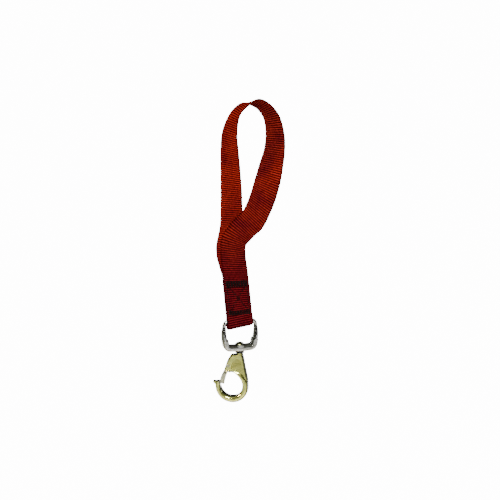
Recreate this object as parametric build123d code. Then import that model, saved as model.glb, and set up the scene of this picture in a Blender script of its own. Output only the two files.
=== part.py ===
from build123d import *
import math
import os

# A short wrist or tether strap: one length of 1 inch webbing formed into a hand loop, its two
# legs sewn together over a folded end that holds a swivel eye, and a spring-gated snap hook
# turning in the base of that eye.  Millimetres, +Z up, origin at the inside top of the hand loop.

# Driving dimensions
WEB_WIDTH = 25.4          # 1 inch webbing
WEB_THICK = 1.8
LAYER_GAP = 0.15          # air between the sewn layers
LAYER_PITCH = WEB_THICK + LAYER_GAP
AXIS_X, AXIS_Y = -12.1, -12.2    # the swivel's vertical axis
BAR_Z = -209.0            # middle of the eye's strap bar
TAB_HEADING = 28.0        # degrees, direction of the sewn tab's width and of the strap bar
TAB_LEAN = 0.100          # sideways lean of the tab per unit of height
SEAM_TOP_Z = -168.0
SEAM_END_Z = -200.0
BAR_RADIUS = 1.8
FOLD_RADIUS = 3.9         # middle of the webbing, where it turns round the bar
FOLD_DROP = 1.9           # how far the slack fold hangs below the bar
FOLD_TILT = 8.0           # degrees

BASE_BOTTOM_Z = -240.6    # underside of the eye's base
BASE_TOP_Z = -232.8
BASE_DEPTH, BASE_THICK = 10.0, 6.0
WASHER_RADIUS = 4.7
SHANK_RADIUS = 2.42
BORE_RADIUS = 2.50
NECK_RADIUS = 3.3
HEAD_RADIUS = 4.0
WASHER_THICK = 0.8
FIT_GAP = 0.06            # running clearance along the swivel axis

HOOK_DEPTH = 7.4
OUTER_ROUNDING = 2.3
INNER_ROUNDING = 1.5
RECESS_DEPTH = 0.75       # shallow panel in each face below the neck
SLOT_WIDTH = 3.0
GATE_TONGUE = 2.6
GATE_DEPTH = 5.4
PIVOT_X, PIVOT_Z = -10.9, -252.2     # gate pin, x measured from the swivel axis
PIN_RADIUS = 1.10
PIN_HOLE_RADIUS = 1.16
SPRING_RADIUS, SPRING_WIRE = 1.2, 0.4
THREAD_WIDTH, THREAD_HEIGHT = 0.55, 0.35
STITCH, STITCH_GAP = 2.3, 0.7
TACK_STITCH, TACK_PITCH = 1.7, 2.2

# The free webbing: middle of the strap, heading of its width and tilt of its width, in degrees.
# The first group climbs from the seam, the rest goes over the top and comes down in front.
LOOP_STATIONS = [
    (-19.8, -10.0, -156.5, 14, -3),
    (-22.9, -8.0, -148.5, 0, 0),
    (-25.2, -5.8, -138.0, -15, 3),
    (-24.2, -4.6, -128.0, -21, 4),
    (-22.1, -3.8, -115.0, -20, 4),
    (-21.8, -4.2, -90.0, -23, 3),
    (-22.1, -6.0, -66.0, -28, 0),
    (-22.4, -8.4, -45.0, -34, -2),
    (-22.0, -9.8, -28.5, -43, -2),
    (-19.3, -9.2, -15.5, -53, -1),
    (-15.3, -7.0, -6.8, -61, -1),
    (-8.6, -3.4, -0.8, -65, 2),
    (0.3, 0.2, 1.0, -62, 23),
    (8.4, 3.6, -4.0, -51, 22),
    (15.2, 5.6, -14.5, -41, 15),
    (18.4, 5.0, -30.0, -33, 6),
    (18.3, 2.6, -44.5, -27, 0),
    (16.1, -1.6, -58.5, -17, -6),
    (13.5, -5.6, -72.5, -7, -16),
    (8.4, -9.2, -91.0, 3, -33),
    (1.3, -12.0, -107.6, 8, -43),
    (-6.0, -13.6, -115.4, 13, -45),
    (-12.0, -14.9, -122.3, 18, -37),
    (-16.6, -15.9, -129.0, 22, -24),
    (-17.6, -16.2, -137.0, 26, -13),
    (-17.3, -16.1, -146.0, 28, -8),
]
SECTIONS_PER_SPAN = 2


def direction(heading, tilt=0.0):
    """Unit vector at a heading in the ground plane, raised by tilt."""
    h, t = math.radians(heading), math.radians(tilt)
    return Vector(math.cos(h) * math.cos(t), math.sin(h) * math.cos(t), math.sin(t))


TAB_WIDTHWAYS = direction(TAB_HEADING)
TAB_FRONT = direction(TAB_HEADING - 90)


def tab_point(z, along=0.0, out=0.0):
    """Point of the sewn tab: along its width and out of its front face."""
    centre = Vector(AXIS_X, AXIS_Y, z) - TAB_WIDTHWAYS * (TAB_LEAN * (z - BAR_Z))
    return centre + TAB_WIDTHWAYS * along + TAB_FRONT * out


def tab_station(z, out):
    """Webbing station in the tab; the width turns from level at the fold to a slight droop."""
    tilt = FOLD_TILT - (z - BAR_Z) * 0.28
    centre = tab_point(z, out=out)
    return (centre.X, centre.Y, centre.Z, TAB_HEADING, max(tilt, -5.0))


def fold_stations():
    """Half turn of slack webbing under the strap bar, from the front face to the back."""
    stations = []
    for angle in range(0, 181, 30):
        a = math.radians(angle)
        centre = Vector(AXIS_X, AXIS_Y, BAR_Z - FOLD_DROP - FOLD_RADIUS * math.sin(a))
        centre += TAB_FRONT * (FOLD_RADIUS * math.cos(a))
        stations.append((centre.X, centre.Y, centre.Z, TAB_HEADING, FOLD_TILT))
    return stations


def webbing_stations():
    """All stations in order: inner end, hand loop, front layer, fold, back layer."""
    inner = [tab_station(z, 0.0) for z in (SEAM_END_Z, -185.0, SEAM_TOP_Z)]
    spread = 3.3
    front = [tab_station(z, LAYER_PITCH) for z in (-157.0, -170.0, -184.0, -197.0, -202.5)]
    front.append(tab_station(BAR_Z + 1.8, spread))
    back = [tab_station(BAR_Z + 1.8, -spread)]
    back += [tab_station(z, -LAYER_PITCH) for z in (-202.5, -197.0, -184.0, -168.0)]
    return inner + LOOP_STATIONS + front + fold_stations() + back


def smooth(values, t):
    """Catmull-Rom value between values[1] and values[2]."""
    a, b, c, d = values
    return 0.5 * (2 * b + (c - a) * t + (2 * a - 5 * b + 4 * c - d) * t * t
                  + (3 * b - a - 3 * c + d) * t ** 3)


def webbing_sections():
    """Middle point and width direction of every cross-section of the webbing."""
    stations = webbing_stations()
    last = len(stations) - 1
    sections = []
    for i in range(last):
        four = [stations[min(max(k, 0), last)] for k in (i - 1, i, i + 1, i + 2)]
        for step in range(SECTIONS_PER_SPAN):
            t = step / SECTIONS_PER_SPAN
            x, y, z, heading, tilt = (smooth([s[n] for s in four], t) for n in range(5))
            sections.append((Vector(x, y, z), direction(heading, tilt)))
    x, y, z, heading, tilt = stations[-1]
    sections.append((Vector(x, y, z), direction(heading, tilt)))
    return sections


def webbing_strap():
    """The whole strap as one solid lofted through its rectangular cross-sections."""
    sections = webbing_sections()
    wires = []
    for i, (centre, across) in enumerate(sections):
        ahead = sections[min(i + 1, len(sections) - 1)][0]
        behind = sections[max(i - 1, 0)][0]
        normal = (ahead - behind).normalized().cross(across).normalized()
        half_w, half_t = across * (WEB_WIDTH / 2), normal * (WEB_THICK / 2)
        corners = [centre + half_w + half_t, centre - half_w + half_t,
                   centre - half_w - half_t, centre + half_w - half_t]
        wires.append(Wire.make_polygon(corners, close=True))
    return Solid.make_loft(wires, ruled=True)


def stitch(start, end, out):
    """One thread lying on the tab between two (height, across) places."""
    side = 1 if out > 0 else -1
    a = tab_point(start[0], start[1], out + side * THREAD_HEIGHT / 2)
    b = tab_point(end[0], end[1], out + side * THREAD_HEIGHT / 2)
    plane = Plane(origin=(a + b) / 2, x_dir=b - a, z_dir=TAB_FRONT)
    return plane * Box((b - a).length, THREAD_WIDTH, THREAD_HEIGHT)


def stitch_row(start, end, out, pitch=STITCH + STITCH_GAP, fill=STITCH):
    """A row of equal stitches between two (height, across) places."""
    length = math.hypot(end[0] - start[0], end[1] - start[1])
    count = max(1, int(length / pitch))
    row = []
    for i in range(count):
        middle = (i + 0.5) / count
        reach = fill / 2 / length
        ends = [[s + (e - s) * t for s, e in zip(start, end)] for t in (middle - reach, middle + reach)]
        row.append(stitch(ends[0], ends[1], out))
    return row


FACE_OUT = LAYER_PITCH + WEB_THICK / 2 + 0.02
BOX_HALF = 9.8
BOX_TOP, BOX_BOTTOM = SEAM_TOP_Z - 4.0, -199.0
CORNERS = [(BOX_TOP, -BOX_HALF), (BOX_TOP, BOX_HALF), (BOX_BOTTOM, BOX_HALF), (BOX_BOTTOM, -BOX_HALF)]


def box_stitch(out):
    """Four sides of the sewn box, stopped short of its corners."""
    rows = []
    inset = 0.6
    for i, corner in enumerate(CORNERS):
        after = CORNERS[(i + 1) % 4]
        length = math.hypot(after[0] - corner[0], after[1] - corner[1])
        cut = [(b - a) * inset / length for a, b in zip(corner, after)]
        start = (corner[0] + cut[0], corner[1] + cut[1])
        end = (after[0] - cut[0], after[1] - cut[1])
        rows += stitch_row(start, end, out)
    return Compound(children=rows)


def between(start, end, t):
    """(height, across) place at fraction t of the way from start to end."""
    return start[0] + (end[0] - start[0]) * t, start[1] + (end[1] - start[1]) * t


def cross_stitch(out):
    """Both diagonals of the box; the second one skips the crossing."""
    rows = []
    for start, end, stretches in ((CORNERS[0], CORNERS[2], [(0.06, 0.94)]),
                                  (CORNERS[1], CORNERS[3], [(0.06, 0.45), (0.55, 0.94)])):
        for first, last in stretches:
            rows += stitch_row(between(start, end, first), between(start, end, last), out)
    return Compound(children=rows)


def bar_tack(out):
    """Two reinforcing rows above the box and two below it."""
    rows = []
    half_row = BOX_HALF + 1.0
    for z in (BOX_TOP + 2.0, BOX_TOP + 1.0, BOX_BOTTOM - 1.0, BOX_BOTTOM - 2.0):
        rows += stitch_row((z, -half_row), (z, half_row), out, pitch=TACK_PITCH, fill=TACK_STITCH)
    return Compound(children=rows)


def eye_base():
    """Base of the eye: a bellied bar, turned up at both ends into the limbs, with a boss above and below."""
    end_x, end_z = 14.9, -18.5
    low_x, low_z, middle_z = 13.4, -26.2, -27.1
    path = FilletPolyline((-end_x, end_z), (-low_x, low_z), (0, middle_z), (low_x, low_z), (end_x, end_z),
                          radius=[4.2, 60.0, 4.2])
    path = Plane.XZ * path
    section = Plane(path @ 0, x_dir=(0, 1, 0), z_dir=path % 0) * RectangleRounded(BASE_DEPTH, BASE_THICK, 2.6)
    base = sweep(section, path=path)
    boss_height, collar_height = 2.0, 2.4
    base += Pos(0, 0, BASE_TOP_Z - BAR_Z - boss_height / 2) * Cylinder(5.4, boss_height)
    return base + Pos(0, 0, BASE_BOTTOM_Z - BAR_Z + collar_height / 2) * Cone(4.4, 3.9, collar_height)


def swivel_eye():
    """Cast eye: round strap bar, limbs that deepen towards a bored base with bosses."""
    corner, shoulder = 4.4, 30.0
    path = FilletPolyline((-14.2, -22.0), (-15.8, -12.0), (-15.5, 0.0), (15.5, 0.0), (15.8, -12.0),
                          (14.2, -22.0), radius=[shoulder, corner, corner, shoulder])
    path = Plane.XZ * path
    eye = sweep(Plane(path @ 0, z_dir=path % 0) * Circle(BAR_RADIUS), path=path)
    limb_sections = [(-5.0, 15.6, 1.80, 1.80), (-12.0, 15.9, 2.4, 3.6), (-22.5, 14.4, 2.9, 4.6)]
    for side in (-1, 1):
        wires = [Plane.XY.offset(z) * Pos(side * x, 0) * Ellipse(rx, ry) for z, x, rx, ry in limb_sections]
        eye += loft(wires)
    eye += eye_base()
    eye -= Pos(0, 0, BASE_TOP_Z - BAR_Z) * Cylinder(BORE_RADIUS, 30)
    return Pos(AXIS_X, AXIS_Y, BAR_Z) * Rot(0, 0, TAB_HEADING) * eye


def swivel_washer():
    """Thrust washer between the eye's base and the peened head, with its outer edges broken."""
    washer = Cylinder(WASHER_RADIUS, WASHER_THICK) - Cylinder(BORE_RADIUS, WASHER_THICK)
    washer = chamfer(washer.edges().filter_by(GeomType.CIRCLE).sort_by(SortBy.RADIUS)[-2:], 0.2)
    return Pos(AXIS_X, AXIS_Y, BASE_TOP_Z + FIT_GAP + WASHER_THICK / 2) * washer


HOOK_DROP = 1.6           # the hook's outline below is drawn this much above its place
HOOK_PLANE = Plane(origin=(AXIS_X, AXIS_Y, -HOOK_DROP), x_dir=(1, 0, 0), z_dir=(0, -1, 0))
BOWL_CENTRE, BOWL_RADIUS = (-7.7, -273.6), 16.2
EYE_CENTRE, EYE_RADIUS = (-8.0, -272.4), 10.9


def body_outline():
    """Teardrop ring: the body's outline round its opening, before the gate's gap is cut."""
    right = Spline((3.2, -240.9), (5.7, -253.5), (8.0, -265.0),
                   (BOWL_CENTRE[0] + BOWL_RADIUS, BOWL_CENTRE[1]), tangents=[(0.3, -1), (0, -1)])
    bowl = ThreePointArc(right @ 1, (BOWL_CENTRE[0], BOWL_CENTRE[1] - BOWL_RADIUS),
                         (BOWL_CENTRE[0] - BOWL_RADIUS, BOWL_CENTRE[1]))
    left = Spline(bowl @ 1, (-21.4, -265.0), (-14.6, -255.0), (-12.4, -248.5), (-8.6, -241.6),
                  tangents=[(0, 1), (0.7, 1)])
    top = Line(left @ 1, right @ 0)
    outline = make_face([right, bowl, left, top])
    right_side, left_side = EYE_CENTRE[0] + EYE_RADIUS, EYE_CENTRE[0] - EYE_RADIUS
    opening_top = Spline((right_side, EYE_CENTRE[1]), (1.6, -266.8), (-2.0, -262.0), (-7.4, -258.8),
                         (-10.6, -260.2), (-14.4, -264.6), (left_side, EYE_CENTRE[1]),
                         tangents=[(0, 1), (0, -1)])
    opening_low = ThreePointArc(opening_top @ 1, (EYE_CENTRE[0], EYE_CENTRE[1] - EYE_RADIUS), opening_top @ 0)
    return outline - make_face([opening_top, opening_low])


def gate_gap():
    """The part of the teardrop's left side that the gate closes."""
    return make_face(Polyline((-9.6, -259.2), (-12.0, -257.8), (-14.2, -255.6), (-30, -257.0), (-30, -269.2),
                              (-20.7, -269.2), (-18.4, -272.4), (-12, -272), close=True))


def beak():
    """Turned-out point of the nose, narrower than the bowl."""
    side = make_face(Polyline((-22.6, -274.0), (-26.4, -269.4), (-20.8, -269.2), (-20.3, -274.0), close=True))
    half_depth = HOOK_DEPTH / 2 - 1.2
    point = extrude(HOOK_PLANE * side, half_depth, both=True)
    return chamfer(point.edges().group_by(Axis.Z)[-1], 0.5)


def hook_body():
    """Cast hook with its neck and shank in one piece; the shank's end is peened over the washer."""
    profile = HOOK_PLANE * body_outline()
    body = extrude(profile, HOOK_DEPTH / 2, both=True)
    sides = body.faces().filter_by(Axis.Y).sort_by(Axis.Y)
    outer_rims = sides[0].outer_wire().edges() + sides[-1].outer_wire().edges()
    body = fillet(outer_rims.filter_by(GeomType.LINE, reverse=True), OUTER_ROUNDING)
    sides = body.faces().filter_by(Axis.Y).sort_by(Axis.Y)
    body = fillet(sides[0].inner_wires()[0].edges() + sides[-1].inner_wires()[0].edges(), INNER_ROUNDING)
    body -= extrude(HOOK_PLANE * gate_gap(), HOOK_DEPTH, both=True)
    body += beak()
    web = make_face([Spline((1.8, -245.4), (4.0, -256.0), (5.4, -264.0)),
                     Spline((5.4, -264.0), (2.6, -261.4), (-2.2, -257.4), (-7.4, -255.4)),
                     Spline((-7.4, -255.4), (-7.6, -251.6), (-2.8, -244.6)),
                     Line((-2.8, -244.6), (1.8, -245.4))])
    for side in (-1, 1):
        body -= extrude(HOOK_PLANE.offset(side * HOOK_DEPTH / 2) * web, RECESS_DEPTH, both=True)
    slot = make_face(Polyline((-20, -242.6), (-9.0, -242.6), (-5.4, -249.0), (-4.6, -256.0), (-6.0, -262.0),
                              (-20, -262.0), close=True))
    body -= extrude(HOOK_PLANE * slot, SLOT_WIDTH / 2, both=True)
    body -= HOOK_PLANE * Pos(PIVOT_X, PIVOT_Z) * extrude(Circle(PIN_RADIUS), HOOK_DEPTH, both=True)
    neck_top = BASE_BOTTOM_Z - FIT_GAP
    neck_base = -243.5 - HOOK_DROP
    neck = Pos(0, 0, (neck_top + neck_base) / 2) * Cylinder(NECK_RADIUS, neck_top - neck_base)
    head_seat = BASE_TOP_Z + FIT_GAP + WASHER_THICK
    shank_top = head_seat + 0.4
    shank = Pos(0, 0, (neck_base + shank_top) / 2) * Cylinder(SHANK_RADIUS, shank_top - neck_base)
    above_seat = Pos(0, 0, HEAD_RADIUS) * Box(4 * HEAD_RADIUS, 4 * HEAD_RADIUS, 2 * HEAD_RADIUS)
    dome = Pos(0, 0, head_seat) * (scale(Sphere(HEAD_RADIUS), (1, 1, 0.5)) & above_seat)
    swivel = Pos(AXIS_X, AXIS_Y) * (neck + shank + dome)
    return body + swivel


def gate_profile():
    """Side view of the gate, x measured from the swivel axis."""
    outer = Spline((-9.4, -246.6), (-13.0, -251.0), (-14.7, -256.0), (-17.3, -261.6), (-19.4, -268.9))
    inner = Spline((-15.3, -271.4), (-14.0, -265.5), (-11.9, -259.8), (-8.9, -254.6), (-7.6, -250.0))
    tip = Polyline(outer @ 1, (-19.1, -270.4), inner @ 0)
    cap = ThreePointArc(inner @ 1, (-7.9, -247.6), outer @ 0)
    return make_face([outer, *tip.edges(), inner, cap])


def gate():
    """Spring gate: a full-depth bar with a thinner tongue that swings between the cheeks."""
    blade = extrude(HOOK_PLANE * gate_profile(), GATE_DEPTH / 2, both=True)
    below_slot = Pos(AXIS_X - 15, AXIS_Y, -270.4 - HOOK_DROP) * Box(30, 20, 20)
    low = blade & below_slot
    low = fillet(low.edges().filter_by(GeomType.BSPLINE), 1.0)
    tongue = extrude(HOOK_PLANE * gate_profile(), GATE_TONGUE / 2, both=True)
    hole = HOOK_PLANE * Pos(PIVOT_X, PIVOT_Z) * extrude(Circle(PIN_HOLE_RADIUS), 10, both=True)
    spring_pocket = HOOK_PLANE * Pos(PIVOT_X + 1.6, PIVOT_Z - 4.0) * extrude(Circle(1.25), 10, both=True)
    return low + tongue - hole - spring_pocket


def gate_pin():
    """Rivet through both cheeks, with a low round head on each face."""
    head_radius, head_height = 1.7, 0.4
    reach = HOOK_DEPTH / 2 + head_height / 2
    pin = extrude(Circle(PIN_RADIUS), reach, both=True)
    for side in (-1, 1):
        pin += Pos(0, 0, side * reach) * Cylinder(head_radius, head_height)
    return HOOK_PLANE * Pos(PIVOT_X, PIVOT_Z) * pin


def gate_spring():
    """Compression spring between the slot's end wall and the gate's tongue, as a plain tube."""
    length, start_gap = 3.2, 0.1
    seat = Plane(origin=(AXIS_X - 8.4, AXIS_Y, -256.0 - HOOK_DROP), x_dir=(0, 1, 0), z_dir=(1, 0, 0.1))
    tube = Cylinder(SPRING_RADIUS, length) - Cylinder(SPRING_RADIUS - SPRING_WIRE, length)
    return seat * Pos(0, 0, start_gap + length / 2) * tube


PARTS = {
    "webbing_strap": webbing_strap,
    "box_stitch_face": lambda: box_stitch(FACE_OUT),
    "box_stitch_back": lambda: box_stitch(-FACE_OUT),
    "cross_stitch_face": lambda: cross_stitch(FACE_OUT),
    "cross_stitch_back": lambda: cross_stitch(-FACE_OUT),
    "bar_tack_face": lambda: bar_tack(FACE_OUT),
    "bar_tack_back": lambda: bar_tack(-FACE_OUT),
    "swivel_eye": swivel_eye,
    "swivel_washer": swivel_washer,
    "hook_body": hook_body,
    "gate": gate,
    "gate_pin": gate_pin,
    "gate_spring": gate_spring,
}

os.makedirs("parts", exist_ok=True)
for name, build in PARTS.items():
    export_step(build(), f"parts/{name}.step")
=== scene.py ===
import math

import bpy
import numpy as np
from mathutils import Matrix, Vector


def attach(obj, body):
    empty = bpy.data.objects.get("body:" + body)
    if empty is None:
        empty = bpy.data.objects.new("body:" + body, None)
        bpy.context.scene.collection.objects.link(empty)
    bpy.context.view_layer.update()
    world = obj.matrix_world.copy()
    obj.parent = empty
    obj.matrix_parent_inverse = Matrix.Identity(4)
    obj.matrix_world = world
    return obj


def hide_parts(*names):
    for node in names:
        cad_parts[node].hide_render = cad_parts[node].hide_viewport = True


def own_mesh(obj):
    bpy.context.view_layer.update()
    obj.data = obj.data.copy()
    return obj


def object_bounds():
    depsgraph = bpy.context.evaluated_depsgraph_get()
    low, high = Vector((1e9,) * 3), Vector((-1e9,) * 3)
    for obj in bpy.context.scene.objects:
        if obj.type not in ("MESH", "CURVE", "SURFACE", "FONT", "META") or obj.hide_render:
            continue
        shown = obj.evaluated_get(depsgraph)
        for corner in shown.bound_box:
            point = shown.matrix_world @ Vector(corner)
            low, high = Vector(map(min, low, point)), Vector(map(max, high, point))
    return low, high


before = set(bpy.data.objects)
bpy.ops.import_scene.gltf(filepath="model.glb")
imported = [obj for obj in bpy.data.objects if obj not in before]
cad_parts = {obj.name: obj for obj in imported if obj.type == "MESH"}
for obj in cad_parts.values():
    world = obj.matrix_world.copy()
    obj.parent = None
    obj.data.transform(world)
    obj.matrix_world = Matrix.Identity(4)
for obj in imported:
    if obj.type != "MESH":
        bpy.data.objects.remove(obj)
cad_low, cad_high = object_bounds()
# The webbing, the sewing and the spring are laid out in mm; everything else is in metres.
MM = 0.001

# ---------------------------------------------------------------- webbing route, as in the CAD part
WEB_WIDTH, LAYER_PITCH = 25.4, 1.95
AXIS_X, AXIS_Y, BAR_Z = -12.1, -12.2, -209.0
TAB_HEADING, TAB_LEAN = 28.0, 0.100
FOLD_RADIUS, FOLD_DROP, FOLD_TILT = 3.9, 1.9, 8.0
FOLD_START, FOLD_SPREAD = BAR_Z + 1.8, 3.3
LAYERS_MEET = BAR_Z + 6.5
TILT_FALL, LEAST_TILT = 0.28, -5.0
STEPS_BETWEEN, SMOOTHING_REACH = 16, 1.2
RIB_PITCH, YARN_PITCH = 2.1, 0.62
# Each station is a middle point, the heading of the width and its tilt, in mm and degrees.
LOOP_STATIONS = [
    (-19.8, -10.0, -156.5, 14, -3),
    (-22.9, -8.0, -148.5, 0, 0),
    (-25.2, -5.8, -138.0, -15, 3),
    (-24.2, -4.6, -128.0, -21, 4),
    (-22.1, -3.8, -115.0, -20, 4),
    (-21.8, -4.2, -90.0, -23, 3),
    (-22.1, -6.0, -66.0, -28, 0),
    (-22.4, -8.4, -45.0, -34, -2),
    (-22.0, -9.8, -28.5, -43, -2),
    (-19.3, -9.2, -15.5, -53, -1),
    (-15.3, -7.0, -6.8, -61, -1),
    (-8.6, -3.4, -0.8, -65, 2),
    (0.3, 0.2, 1.0, -62, 23),
    (8.4, 3.6, -4.0, -51, 22),
    (15.2, 5.6, -14.5, -41, 15),
    (18.4, 5.0, -30.0, -33, 6),
    (18.3, 2.6, -44.5, -27, 0),
    (16.1, -1.6, -58.5, -17, -6),
    (13.5, -5.6, -72.5, -7, -16),
    (8.4, -9.2, -91.0, 3, -33),
    (1.3, -12.0, -107.6, 8, -43),
    (-6.0, -13.6, -115.4, 13, -45),
    (-12.0, -14.9, -122.3, 18, -37),
    (-16.6, -15.9, -129.0, 22, -24),
    (-17.6, -16.2, -137.0, 26, -13),
    (-17.3, -16.1, -146.0, 28, -8),
]


def direction(heading, tilt=0.0):
    """Unit vector at a heading in the ground plane, raised by tilt, both in degrees."""
    h, t = math.radians(heading), math.radians(tilt)
    return np.array((math.cos(h) * math.cos(t), math.sin(h) * math.cos(t), math.sin(t)))


TAB_ACROSS = direction(TAB_HEADING)
TAB_FRONT = direction(TAB_HEADING - 90)


def tab_point(z, along=0.0, out=0.0):
    """A point on the sewn tab at a height, along its width and out from its middle."""
    centre = np.array((AXIS_X, AXIS_Y, z)) - TAB_ACROSS * (TAB_LEAN * (z - BAR_Z))
    return centre + TAB_ACROSS * along + TAB_FRONT * out


def tab_station(z, out):
    """A station on the tab, which is tilted less the higher it is above the bar."""
    tilt = max(FOLD_TILT - (z - BAR_Z) * TILT_FALL, LEAST_TILT)
    return (*tab_point(z, out=out), TAB_HEADING, tilt)


def fold_stations():
    """Stations of the half turn round the eye's bar."""
    stations = []
    for angle in range(0, 181, 30):
        a = math.radians(angle)
        centre = np.array((AXIS_X, AXIS_Y, BAR_Z - FOLD_DROP - FOLD_RADIUS * math.sin(a)))
        centre = centre + TAB_FRONT * (FOLD_RADIUS * math.cos(a))
        stations.append((*centre, TAB_HEADING, FOLD_TILT))
    return stations


def webbing_stations():
    """The whole route: inner end, hand loop, front layer, fold and back layer."""
    inner = [tab_station(z, 0.0) for z in (-200.0, -185.0, -168.0)]
    front = [tab_station(z, LAYER_PITCH) for z in (-157.0, -170.0, -184.0, -197.0, LAYERS_MEET)]
    front.append(tab_station(FOLD_START, FOLD_SPREAD))
    back = [tab_station(FOLD_START, -FOLD_SPREAD)]
    back += [tab_station(z, -LAYER_PITCH) for z in (LAYERS_MEET, -197.0, -184.0, -168.0)]
    return np.array(inner + LOOP_STATIONS + front + fold_stations() + back)


def smooth(a, b, c, d, t):
    """Catmull-Rom value between b and c."""
    return 0.5 * (2 * b + (c - a) * t + (2 * a - 5 * b + 4 * c - d) * t ** 2
                  + (3 * b - a - 3 * c + d) * t ** 3)


def resample(rows, lengths, step):
    """Rows at an even spacing along the length."""
    places = np.linspace(0, lengths[-1], int(lengths[-1] / step) + 1)
    return np.stack([np.interp(places, lengths, rows[:, k]) for k in range(rows.shape[1])], axis=1), places


def running_mean(values, reach):
    """Moving average along the rows, with the ends held."""
    kernel = np.ones(2 * reach + 1) / (2 * reach + 1)
    padded = np.pad(values, ((reach, reach), (0, 0)), mode="edge")
    return np.stack([np.convolve(padded[:, k], kernel, "valid") for k in range(values.shape[1])], axis=1)


def webbing_path(step):
    """Middle, width direction, outward normal and distance of evenly spaced webbing rows, in mm."""
    stations = webbing_stations()
    last = len(stations) - 1
    rows = []
    for i in range(last):
        four = [stations[min(max(k, 0), last)] for k in (i - 1, i, i + 1, i + 2)]
        rows += [smooth(*four, t) for t in np.arange(0, 1, 1 / STEPS_BETWEEN)]
    rows = np.array(rows + [stations[last]])
    across = np.array([direction(h, t) for h, t in rows[:, 3:5]])
    middle = rows[:, :3]
    lengths = np.concatenate([[0], np.cumsum(np.linalg.norm(np.diff(middle, axis=0), axis=1))])
    data, places = resample(np.hstack([middle, across]), lengths, step)
    data = running_mean(data, int(SMOOTHING_REACH / step))
    middle, across = data[:, :3], data[:, 3:]
    across /= np.linalg.norm(across, axis=1)[:, None]
    ahead = np.gradient(middle, axis=0)
    normal = np.cross(ahead, across)
    normal /= np.linalg.norm(normal, axis=1)[:, None]
    return middle, across, normal, places


# ---------------------------------------------------------------- mesh helpers
def mesh_object(name, points, faces, material, uv, body):
    """A smooth-shaded mesh piece, in metres, that rides on a body."""
    mesh = bpy.data.meshes.new(name)
    mesh.from_pydata([tuple(p) for p in points], [], faces)
    mesh.polygons.foreach_set("use_smooth", [True] * len(mesh.polygons))
    layer = mesh.uv_layers.new(name="UVMap")
    corners = np.empty(len(mesh.loops), int)
    mesh.loops.foreach_get("vertex_index", corners)
    layer.data.foreach_set("uv", uv[corners].ravel())
    mesh.materials.append(material)
    mesh.update()
    piece = bpy.data.objects.new(name, mesh)
    bpy.context.scene.collection.objects.link(piece)
    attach(piece, body)
    return piece


def ring_faces(rows, columns):
    """Quads that join each ring of points to the next."""
    faces = []
    for r in range(rows - 1):
        for c in range(columns):
            d = (c + 1) % columns
            faces.append((r * columns + c, r * columns + d, (r + 1) * columns + d, (r + 1) * columns + c))
    return faces


def closed_faces(rows, columns):
    """Faces of a closed tube: its rings, and a cap on each end."""
    first_cap = tuple(range(columns))[::-1]
    last_cap = tuple((rows - 1) * columns + c for c in range(columns))
    return ring_faces(rows, columns) + [first_cap, last_cap]


# ---------------------------------------------------------------- material helpers
def new_material(name):
    """A node material, with its nodes, its links and its shader."""
    material = bpy.data.materials.new(name)
    material.use_nodes = True
    nodes, links = material.node_tree.nodes, material.node_tree.links
    return material, nodes, links, nodes["Principled BSDF"]


def noise(nodes, links, coords, scale, detail=4.0, rough=0.55):
    node = nodes.new("ShaderNodeTexNoise")
    node.inputs["Scale"].default_value = scale
    node.inputs["Detail"].default_value = detail
    node.inputs["Roughness"].default_value = rough
    links.new(coords, node.inputs["Vector"])
    return node.outputs["Fac"]


def ramp(nodes, links, value, stops):
    """Colour that follows value through (place, colour) stops."""
    node = nodes.new("ShaderNodeValToRGB")
    elements = node.color_ramp.elements
    while len(elements) < len(stops):
        elements.new(0.5)
    for element, (place, colour) in zip(elements, stops):
        element.position = place
        element.color = (*colour, 1.0)
    links.new(value, node.inputs["Fac"])
    return node.outputs["Color"]


def maths(nodes, links, operation, a, b=None):
    node = nodes.new("ShaderNodeMath")
    node.operation = operation
    for socket, value in zip(node.inputs, (a, b)):
        if isinstance(value, (int, float)):
            socket.default_value = value
        elif value is not None:
            links.new(value, socket)
    return node.outputs[0]


def split_xyz(nodes, links, vector):
    """The X, Y and Z outputs of a vector."""
    node = nodes.new("ShaderNodeSeparateXYZ")
    links.new(vector, node.inputs[0])
    return node.outputs


def ridges(nodes, links, place, pitch):
    """Rounded ridges at a pitch in mm, 0 in the valleys and 1 on the crests."""
    turns = maths(nodes, links, "MULTIPLY", place, math.pi / (pitch * MM))
    return maths(nodes, links, "ABSOLUTE", maths(nodes, links, "SINE", turns))


def bump(nodes, links, height, distance, strength=1.0, base=None):
    node = nodes.new("ShaderNodeBump")
    node.inputs["Distance"].default_value = distance
    node.inputs["Strength"].default_value = strength
    links.new(height, node.inputs["Height"])
    if base is not None:
        links.new(base, node.inputs["Normal"])
    return node.outputs["Normal"]


def mix_colour(nodes, links, factor, a, b, blend="MIX"):
    node = nodes.new("ShaderNodeMix")
    node.data_type, node.blend_type = "RGBA", blend
    for socket, value in ((node.inputs["Factor"], factor), (node.inputs[6], a), (node.inputs[7], b)):
        if isinstance(value, (int, float)):
            socket.default_value = value
        elif isinstance(value, tuple):
            socket.default_value = (*value, 1.0)
        else:
            links.new(value, socket)
    return node.outputs[2]


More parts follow.
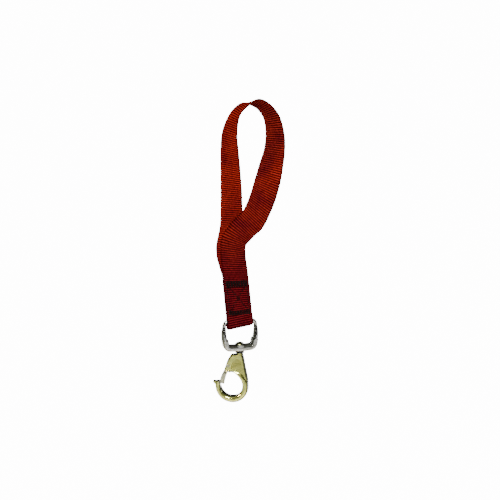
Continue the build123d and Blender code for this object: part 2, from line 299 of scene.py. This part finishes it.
def webbing_material():
    """Ribbed polyester webbing: painted highlights on the crests of the cross ribs, painted shade in the rib
    valleys and between the yarns.
    """
    material, nodes, links, shader = new_material("red_webbing")
    uv = nodes.new("ShaderNodeUVMap").outputs["UV"]
    place = split_xyz(nodes, links, uv)
    across, along = place["X"], place["Y"]
    rib = ridges(nodes, links, along, RIB_PITCH)
    yarn = ridges(nodes, links, across, YARN_PITCH)
    position = nodes.new("ShaderNodeTexCoord").outputs["Object"]
    fibre = noise(nodes, links, position, 2600, 5.0, 0.7)
    patch = noise(nodes, links, position, 42, 3.0)
    fine = noise(nodes, links, position, 620, 3.0)
    red = ramp(nodes, links, patch, [(0.30, (0.075, 0.0030, 0.0055)), (0.70, (0.16, 0.0075, 0.0070))])
    # Painted highlight on the crests of the cross ribs and painted shade in their valleys.
    rib_highlight_and_shade = ramp(nodes, links, rib, [(0.0, (0.03, 0.01, 0.02)), (0.45, (0.42, 0.30, 0.32)),
                                     (0.80, (1.0, 1.0, 1.0)), (1.0, (2.1, 3.6, 2.6))])
    # Painted shade in the grooves between the yarns.
    thread = ramp(nodes, links, yarn, [(0.0, (0.35, 0.28, 0.28)), (0.5, (1.0, 1.0, 1.0))])
    speck = ramp(nodes, links, fine, [(0.30, (0.60, 0.52, 0.52)), (0.70, (1.35, 1.5, 1.4))])
    colour = mix_colour(nodes, links, 1.0, red, rib_highlight_and_shade, "MULTIPLY")
    colour = mix_colour(nodes, links, 0.8, colour, thread, "MULTIPLY")
    colour = mix_colour(nodes, links, 0.9, colour, speck, "MULTIPLY")
    from_middle = maths(nodes, links, "ABSOLUTE", across)
    # Painted shade along both edges of the strap.
    edge_shade = ramp(nodes, links, maths(nodes, links, "DIVIDE", from_middle, WEB_WIDTH / 2 * MM),
                    [(0.86, (1.0, 1.0, 1.0)), (0.98, (0.30, 0.25, 0.25))])
    colour = mix_colour(nodes, links, 0.9, colour, edge_shade, "MULTIPLY")
    # Painted shade: the strap is painted darker and more crimson towards the bottom, over the knot and the
    # sewn tab.
    sewn = nodes.new("ShaderNodeMapRange")
    links.new(split_xyz(nodes, links, position)["Z"], sewn.inputs["Value"])
    for socket, value in (("From Min", -0.120), ("From Max", -0.168), ("To Min", 0.0), ("To Max", 0.8)):
        sewn.inputs[socket].default_value = value
    colour = mix_colour(nodes, links, sewn.outputs["Result"], colour,
                        mix_colour(nodes, links, 1.0, colour, (0.50, 0.30, 0.9), "MULTIPLY"))
    links.new(colour, shader.inputs["Base Color"])
    weave = bump(nodes, links, yarn, 0.00016, 0.8)
    weave = bump(nodes, links, rib, 0.00014, 0.7, weave)
    weave = bump(nodes, links, fibre, 0.00008, 0.6, weave)
    links.new(weave, shader.inputs["Normal"])
    rough = ramp(nodes, links, fine, [(0.2, (0.60, 0.60, 0.60)), (0.8, (0.85, 0.85, 0.85))])
    links.new(rough, shader.inputs["Roughness"])
    shader.inputs["Specular IOR Level"].default_value = 0.0
    return material


def dome_height(nodes, links, coords, centre, radius, half_width):
    """Height, 0 to 1, of a rounded ring about a line along Y through centre (x, z)."""
    place = split_xyz(nodes, links, coords)
    x = maths(nodes, links, "SUBTRACT", place["X"], centre[0])
    z = maths(nodes, links, "SUBTRACT", place["Z"], centre[1])
    x_squared = maths(nodes, links, "MULTIPLY", x, x)
    z_squared = maths(nodes, links, "MULTIPLY", z, z)
    squared = maths(nodes, links, "ADD", x_squared, z_squared)
    off_middle = maths(nodes, links, "SUBTRACT", maths(nodes, links, "SQRT", squared), radius)
    share = maths(nodes, links, "DIVIDE", off_middle, half_width)
    fall = maths(nodes, links, "SUBTRACT", 1.0, maths(nodes, links, "MULTIPLY", share, share))
    return maths(nodes, links, "MAXIMUM", fall, 0.0)


def metal_material(name, light, dark, side, facing, roughness, seed, ring=None):
    """Plating over a casting, with painted shade: its two faces take the bright film colours and its sides
    are painted with the darker side colour.
    ring adds the rounding of a ring: its centre, middle radius, half width and height."""
    material, nodes, links, shader = new_material(name)
    coordinates = nodes.new("ShaderNodeTexCoord")
    shift = nodes.new("ShaderNodeMapping")
    shift.inputs["Location"].default_value = (seed, seed * 0.7, seed * 1.3)
    links.new(coordinates.outputs["Object"], shift.inputs["Vector"])
    place = shift.outputs["Vector"]
    film = noise(nodes, links, place, 190, 4.0)
    ripple = noise(nodes, links, place, 240, 2.0)
    pits = noise(nodes, links, place, 2200, 3.0, 0.65)
    towards = nodes.new("ShaderNodeVectorMath")
    towards.operation = "DOT_PRODUCT"
    links.new(coordinates.outputs["Normal"], towards.inputs[0])
    towards.inputs[1].default_value = tuple(facing)
    # Painted shade: by the object-space normal, faces towards facing keep the bright colours and the sides
    # take the dark side colour.
    flat = maths(nodes, links, "ABSOLUTE", towards.outputs["Value"])
    flat = maths(nodes, links, "ADD", flat, maths(nodes, links, "MULTIPLY", film, 0.30))
    flat = maths(nodes, links, "MULTIPLY", flat, 0.8)
    face_light_side_shade = ramp(nodes, links, flat, [(0.74, (0, 0, 0)), (0.90, (1, 1, 1))])
    colour = ramp(nodes, links, film, [(0.34, dark), (0.60, light)])
    colour = mix_colour(nodes, links, face_light_side_shade, side, colour)
    edge = ramp(nodes, links, nodes.new("ShaderNodeNewGeometry").outputs["Pointiness"],
                [(0.42, (0.45, 0.42, 0.34)), (0.50, (1.0, 1.0, 1.0)), (0.60, (1.3, 1.3, 1.35))])
    links.new(mix_colour(nodes, links, 0.8, colour, edge, "MULTIPLY"), shader.inputs["Base Color"])
    low, high = roughness
    links.new(ramp(nodes, links, film, [(0.3, (high,) * 3), (0.7, (low,) * 3)]), shader.inputs["Roughness"])
    surface = bump(nodes, links, ripple, 0.0008, 0.5)
    surface = bump(nodes, links, pits, 0.00005, 0.45, surface)
    if ring:
        centre, radius, half_width, height = ring
        dome = dome_height(nodes, links, coordinates.outputs["Object"], centre, radius, half_width)
        surface = bump(nodes, links, dome, height, 1.0, surface)
    links.new(surface, shader.inputs["Normal"])
    shader.inputs["Metallic"].default_value = 1.0
    return material


def thread_material():
    """Heavy black bonded thread with its twist and a little red fluff worked into it."""
    material, nodes, links, shader = new_material("black_thread")
    uv = nodes.new("ShaderNodeUVMap").outputs["UV"]
    wave = nodes.new("ShaderNodeTexWave")
    wave.bands_direction = "DIAGONAL"
    wave.inputs["Scale"].default_value = 1.0
    links.new(uv, wave.inputs["Vector"])
    position = nodes.new("ShaderNodeTexCoord").outputs["Object"]
    colour = ramp(nodes, links, noise(nodes, links, position, 900),
                  [(0.35, (0.0015, 0.0010, 0.0015)), (0.80, (0.012, 0.002, 0.002))])
    links.new(colour, shader.inputs["Base Color"])
    links.new(bump(nodes, links, wave.outputs["Fac"], 0.00008, 0.7), shader.inputs["Normal"])
    shader.inputs["Roughness"].default_value = 0.7
    shader.inputs["Specular IOR Level"].default_value = 0.10
    return material


# ---------------------------------------------------------------- webbing
def slow_wobble(values, seed):
    """Smooth repeatable wobble made of a few sines."""
    return (np.sin(values + seed) + 0.6 * np.sin(values * 2.37 + seed * 1.7)
            + 0.4 * np.sin(values * 5.1 + seed * 2.9)) / 2.0


ROW_STEP, COLUMNS = 0.3, 30
EDGE_INSET, SCALLOP, EDGE_WOBBLE = 0.25, 0.3, 0.05
HALF_BODY, RIB_HEIGHT, FACE_WOBBLE = 0.68, 0.26, 0.03


def build_webbing(material):
    """The whole strap as a closed ribbon with real cross ribs and scalloped edges."""
    middle, width_way, normal, places = webbing_path(ROW_STEP)
    rows = len(places)
    wobble = slow_wobble(places * 0.11, 1.0)
    phase = places / RIB_PITCH + 0.06 * wobble
    rib = np.abs(np.sin(math.pi * phase)) ** 0.6
    v = np.sin(np.linspace(-math.pi / 2, math.pi / 2, COLUMNS + 1))
    fullness = (1 - np.abs(v) ** 9) ** 0.5
    front, back = [], []
    for r in range(rows):
        half_width = WEB_WIDTH / 2 - EDGE_INSET + SCALLOP * rib[r] + EDGE_WOBBLE * wobble[r]
        cross = v * half_width
        ridge = HALF_BODY + RIB_HEIGHT * rib[r] + FACE_WOBBLE * np.sin(cross * 1.3 + places[r] * 0.7)
        lift = np.outer(fullness * ridge, normal[r])
        centre = middle[r] + np.outer(cross, width_way[r])
        front.append(centre + lift)
        back.append((centre - lift)[1:-1][::-1])
    points = np.array([np.vstack([f, b]) for f, b in zip(front, back)])
    ring = points.shape[1]
    across = np.concatenate([v, v[1:-1][::-1]]) * WEB_WIDTH / 2
    coordinates = []
    for r in range(rows):
        coordinates.append(np.stack([across * MM, np.full(ring, phase[r] * RIB_PITCH * MM)], axis=1))
    strap = mesh_object("ribbed_webbing", points.reshape(-1, 3) * MM, closed_faces(rows, ring), material,
                        np.vstack(coordinates), "strap")
    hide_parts("webbing_strap")


# ---------------------------------------------------------------- sewing thread
BOX_TOP, BOX_BOTTOM, BOX_HALF = -172.0, -199.0, 9.8
BOX_STITCH, TACK_STITCH = (2.5, 0.55), (1.9, 0.3)  # stitch length and gap
THREAD_RADIUS, THREAD_SIDES = 0.46, 8
CREST_HEIGHT, THREAD_STANDOFF = 0.93, 0.12
STITCH_POINTS, STITCH_RISE, STITCH_DIVE, STITCH_SWAY = 9, 0.34, 0.30, 0.16


def face_out(z, side):
    """Distance from the tab's middle to the crests of its front or back face."""
    spread = float(np.interp(z, (FOLD_START, LAYERS_MEET), (FOLD_SPREAD, LAYER_PITCH)))
    return side * (spread + CREST_HEIGHT)


def stitch_points(start, end, side, rng):
    """Points along one stitch: it rises out of the webbing, lies over the ribs and dives back in."""
    points = []
    for k in range(STITCH_POINTS):
        t = k / (STITCH_POINTS - 1)
        z, along = (a + (b - a) * t for a, b in zip(start, end))
        lift = STITCH_RISE * math.sin(math.pi * t) ** 0.5 - STITCH_DIVE
        sway = STITCH_SWAY * math.sin(math.pi * t) * rng.uniform(-1, 1)
        out = face_out(z, side) + side * (lift + THREAD_STANDOFF)
        points.append(tab_point(z + sway, along + sway, out))
    return np.array(points)


def thread_tube(points, radius):
    """Points, faces and UVs of a closed tube that narrows at both ends."""
    rows = len(points)
    ahead = np.gradient(points, axis=0)
    ahead /= np.linalg.norm(ahead, axis=1)[:, None]
    first = np.cross(ahead, TAB_FRONT)
    first /= np.linalg.norm(first, axis=1)[:, None]
    second = np.cross(ahead, first)
    angles = np.linspace(0, 2 * math.pi, THREAD_SIDES, endpoint=False)
    narrow = np.sin(np.linspace(0.12, math.pi - 0.12, rows)) ** 0.35
    rings = []
    for r in range(rows):
        circle = np.outer(np.cos(angles), first[r]) + np.outer(np.sin(angles), second[r])
        rings.append(points[r] + radius * narrow[r] * circle)
    uv = [(r * 0.4 * MM, s / THREAD_SIDES) for r in range(rows) for s in range(THREAD_SIDES)]
    return np.vstack(rings), closed_faces(rows, THREAD_SIDES), np.array(uv)


def seam(name, lines, side, material, replaced, seed):
    """Rows of thick stitches: each line is a start, an end, a stitch length, a gap and a radius."""
    rng = np.random.default_rng(seed)
    points, faces, uv = [], [], []
    total = 0
    for start, end, length, gap, radius in lines:
        start, end = np.array(start), np.array(end)
        whole = np.linalg.norm(end - start)
        count = max(1, int(whole / (length + gap)))
        for i in range(count):
            jitter = rng.uniform(-0.12, 0.12, 2)
            middle = (i + 0.5) / count
            reach = length / 2 / whole
            a = start + (end - start) * (middle - reach) + jitter
            b = start + (end - start) * (middle + reach) + jitter * rng.uniform(-1, 1)
            path = stitch_points(a, b, side, rng)
            stitch, stitch_faces, stitch_uv = thread_tube(path, radius * rng.uniform(0.85, 1.15))
            faces += [tuple(total + c for c in face) for face in stitch_faces]
            points.append(stitch)
            uv.append(stitch_uv)
            total += len(stitch)
    piece = mesh_object(name, np.vstack(points) * MM, faces, material, np.vstack(uv), "strap")
    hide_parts(replaced)


def build_sewing(material):
    """The sewn box, its cross and the reinforcing rows, on both faces of the tab."""
    top_left, top_right = (BOX_TOP, -BOX_HALF), (BOX_TOP, BOX_HALF)
    low_left, low_right = (BOX_BOTTOM, -BOX_HALF), (BOX_BOTTOM, BOX_HALF)
    corners = (top_left, top_right, low_right, low_left)
    sides_of_box = zip(corners, corners[1:] + corners[:1])
    diagonals = ((top_left, low_right), (top_right, low_left))
    box = [(a, b, *BOX_STITCH, THREAD_RADIUS) for a, b in sides_of_box]
    cross = [(a, b, *BOX_STITCH, THREAD_RADIUS) for a, b in diagonals]
    half_row = BOX_HALF + 1.0
    heights = [BOX_TOP + up for up in (3.4, 2.6, 1.7, 0.8, -0.9, -1.8)]
    heights += [BOX_BOTTOM + up for up in (0.9, -0.9, -1.8, -2.6)]
    tacks = [((z, -half_row), (z, half_row), *TACK_STITCH, THREAD_RADIUS * 1.2) for z in heights]
    for side, face in ((1, "face"), (-1, "back")):
        seam("box_thread_" + face, box, side, material, "box_stitch_" + face, 11 + side)
        seam("cross_thread_" + face, cross, side, material, "cross_stitch_" + face, 21 + side)
        seam("tack_thread_" + face, tacks, side, material, "bar_tack_" + face, 31 + side)


build_webbing(webbing_material())
build_sewing(thread_material())

# ---------------------------------------------------------------- metal pieces
SPRING_SEAT = np.array((AXIS_X - 8.4, AXIS_Y, -257.6))
SPRING_LENGTH, SPRING_COIL, SPRING_WIRE_RADIUS, SPRING_TURNS = 3.0, 1.0, 0.18, 5
SPRING_INSET, SPRING_TRIM, SPRING_SQUASHED = 0.3, 0.4, 0.25
# The ring of the hook's bowl: its centre (x, z), middle radius, half width and height, in metres.
BOWL_RING = ((-0.0200, -0.2747), 0.0136, 0.0028, 0.0012)


def build_spring(material):
    """The gate's wound spring, a fixed coil that rides on the hook."""
    axis = np.array((1.0, 0.0, 0.1)) / math.hypot(1.0, 0.1)
    sideways = np.array((0.0, 1.0, 0.0))
    upwards = np.cross(axis, sideways)
    per_turn, sides = 24, 8
    rows = SPRING_TURNS * per_turn + 1
    points, uv = [], []
    for r in range(rows):
        turn = r / per_turn
        angle = 2 * math.pi * turn
        outwards = math.cos(angle) * sideways + math.sin(angle) * upwards
        ahead = -math.sin(angle) * sideways + math.cos(angle) * upwards
        binormal = np.cross(ahead, outwards)
        along = SPRING_INSET + (SPRING_LENGTH - SPRING_TRIM) * turn / SPRING_TURNS
        middle = SPRING_SEAT + axis * along + outwards * SPRING_COIL
        for k in range(sides):
            phi = 2 * math.pi * k / sides
            points.append(middle + SPRING_WIRE_RADIUS * (math.cos(phi) * outwards + math.sin(phi) * binormal))
            uv.append((turn, k / sides))
    spring = mesh_object("wound_spring", np.array(points) * MM, closed_faces(rows, sides), material,
                         np.array(uv), "hook")
    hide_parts("gate_spring")
    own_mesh(spring)


HOOK_FACE = (0.0, 1.0, 0.0)
# The third colour given to each metal is the painted shade of its sides.
eye_metal = metal_material("bright_nickel", (0.80, 0.81, 0.77), (0.50, 0.51, 0.44), (0.17, 0.18, 0.13),
                           TAB_FRONT, (0.06, 0.16), 3.0)
hook_metal = metal_material("warm_nickel", (0.88, 0.92, 0.26), (0.78, 0.82, 0.20), (0.12, 0.13, 0.06),
                            HOOK_FACE, (0.10, 0.20), 7.0, ring=BOWL_RING)
gate_metal = metal_material("gate_nickel", (0.78, 0.78, 0.52), (0.50, 0.51, 0.28), (0.12, 0.12, 0.06),
                            HOOK_FACE, (0.08, 0.18), 11.0)
spring_metal = metal_material("spring_wire", (0.55, 0.55, 0.56), (0.35, 0.35, 0.36), (0.30, 0.30, 0.31),
                              HOOK_FACE, (0.25, 0.40), 13.0)
for node, material in (("swivel_eye", eye_metal), ("swivel_washer", eye_metal), ("hook_body", hook_metal),
                       ("gate", gate_metal), ("gate_pin", gate_metal)):
    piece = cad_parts[node]
    piece.data.materials.clear()
    piece.data.materials.append(material)

build_spring(spring_metal)

# ---------------------------------------------------------------- stage, light and camera
FLOOR_Z = -0.95
CAMERA_AZIMUTH, CAMERA_ELEVATION = math.radians(12), math.radians(14)
CAMERA_DISTANCE = 1.6
VIEW_SPAN = 0.475
TARGET = Vector((-2.5, -10.0, -139.0)) * MM


def floor_material(name, emission):
    """Matt pale paper, with a faint mottle; emission makes it a light table."""
    material, nodes, links, shader = new_material(name)
    position = nodes.new("ShaderNodeTexCoord").outputs["Object"]
    mottle = ramp(nodes, links, noise(nodes, links, position, 3), [(0.3, (0.90,) * 3), (0.7, (0.94,) * 3)])
    links.new(mottle, shader.inputs["Base Color"])
    shader.inputs["Roughness"].default_value = 0.8
    shader.inputs["Emission Color"].default_value = (1, 1, 1, 1)
    shader.inputs["Emission Strength"].default_value = emission
    return material


def stage_mesh(name, points, faces, material):
    """A piece of the stage, which isn't part of the object."""
    mesh = bpy.data.meshes.new(name)
    mesh.from_pydata(points, [], faces)
    mesh.materials.append(material)
    piece = bpy.data.objects.new(name, mesh)
    bpy.context.scene.collection.objects.link(piece)


def build_floor():
    """A round pale floor, and a glowing sheet on it that fills the camera's view behind the object."""
    rings, spokes, reach = 12, 48, 30.0
    points = [(reach * (r / rings) ** 2 * math.cos(2 * math.pi * s / spokes),
               reach * (r / rings) ** 2 * math.sin(2 * math.pi * s / spokes), FLOOR_Z)
              for r in range(1, rings + 1) for s in range(spokes)]
    faces = ring_faces(rings, spokes)
    faces.append(tuple(range(spokes)))
    stage_mesh("floor", points, faces, floor_material("pale_floor", 0.35))
    away = Vector((-math.sin(CAMERA_AZIMUTH), math.cos(CAMERA_AZIMUTH), 0))
    beside = Vector((math.cos(CAMERA_AZIMUTH), math.sin(CAMERA_AZIMUTH), 0))
    edge = []
    for distance, half_width in ((1.0, 0.6), (20.0, 4.2)):
        for side in (-1, 1):
            place = away * distance + beside * (side * half_width)
            edge.append((place.x, place.y, FLOOR_Z + 0.002))
    stage_mesh("light_table", edge, [(0, 1, 3, 2)], floor_material("glowing_floor", 14.0))


def aim(thing, place, target):
    """Put a light or a camera at a place, looking at target."""
    thing.location = place
    thing.rotation_euler = (Vector(target) - Vector(place)).to_track_quat("-Z", "Y").to_euler()


def area_light(name, place, target, size, power, colour):
    data = bpy.data.lights.new(name, "AREA")
    data.shape, data.size, data.energy, data.color = "DISK", size, power, colour
    light = bpy.data.objects.new(name, data)
    bpy.context.scene.collection.objects.link(light)
    aim(light, place, target)


def build_world():
    """Dark and bright bands all round, which the polished metal reflects."""
    world = bpy.data.worlds.new("studio")
    bpy.context.scene.world = world
    world.use_nodes = True
    nodes, links = world.node_tree.nodes, world.node_tree.links
    background = nodes["Background"]
    upwards = split_xyz(nodes, links, nodes.new("ShaderNodeTexCoord").outputs["Generated"])["Z"]
    level = maths(nodes, links, "MULTIPLY_ADD", upwards, 0.5)
    level.node.inputs[2].default_value = 0.5
    colour = ramp(nodes, links, level, [(0.0, (0.6, 0.6, 0.6)), (0.47, (0.5, 0.5, 0.5)),
                                        (0.51, (0.01, 0.01, 0.01)), (0.64, (0.02, 0.02, 0.015)),
                                        (0.68, (0.45, 0.45, 0.42)), (0.78, (0.05, 0.05, 0.05)),
                                        (0.95, (0.8, 0.8, 0.8))])
    links.new(colour, background.inputs["Color"])
    background.inputs["Strength"].default_value = 0.7


def build_camera():
    """A long lens at CAMERA_DISTANCE, framed so that VIEW_SPAN metres fill the picture's width."""
    back = Vector((math.sin(CAMERA_AZIMUTH) * math.cos(CAMERA_ELEVATION),
                   -math.cos(CAMERA_AZIMUTH) * math.cos(CAMERA_ELEVATION), math.sin(CAMERA_ELEVATION)))
    data = bpy.data.cameras.new("camera")
    data.sensor_width = 36.0
    data.lens = data.sensor_width * CAMERA_DISTANCE / VIEW_SPAN
    camera = bpy.data.objects.new("camera", data)
    bpy.context.scene.collection.objects.link(camera)
    aim(camera, TARGET + back * CAMERA_DISTANCE, TARGET)
    bpy.context.scene.camera = camera


build_floor()
build_world()
centre = (cad_low + cad_high) / 2
area_light("key", centre + Vector((-1.15, -0.50, 0.40)), centre, 0.25, 19, (1.0, 0.62, 0.26))
area_light("front", centre + Vector((0.10, -1.20, 0.75)), centre, 0.40, 27, (1.0, 0.97, 0.92))
area_light("rim", centre + Vector((0.9, 0.5, 0.2)), centre, 0.3, 2, (1.0, 1.0, 1.0))
build_camera()
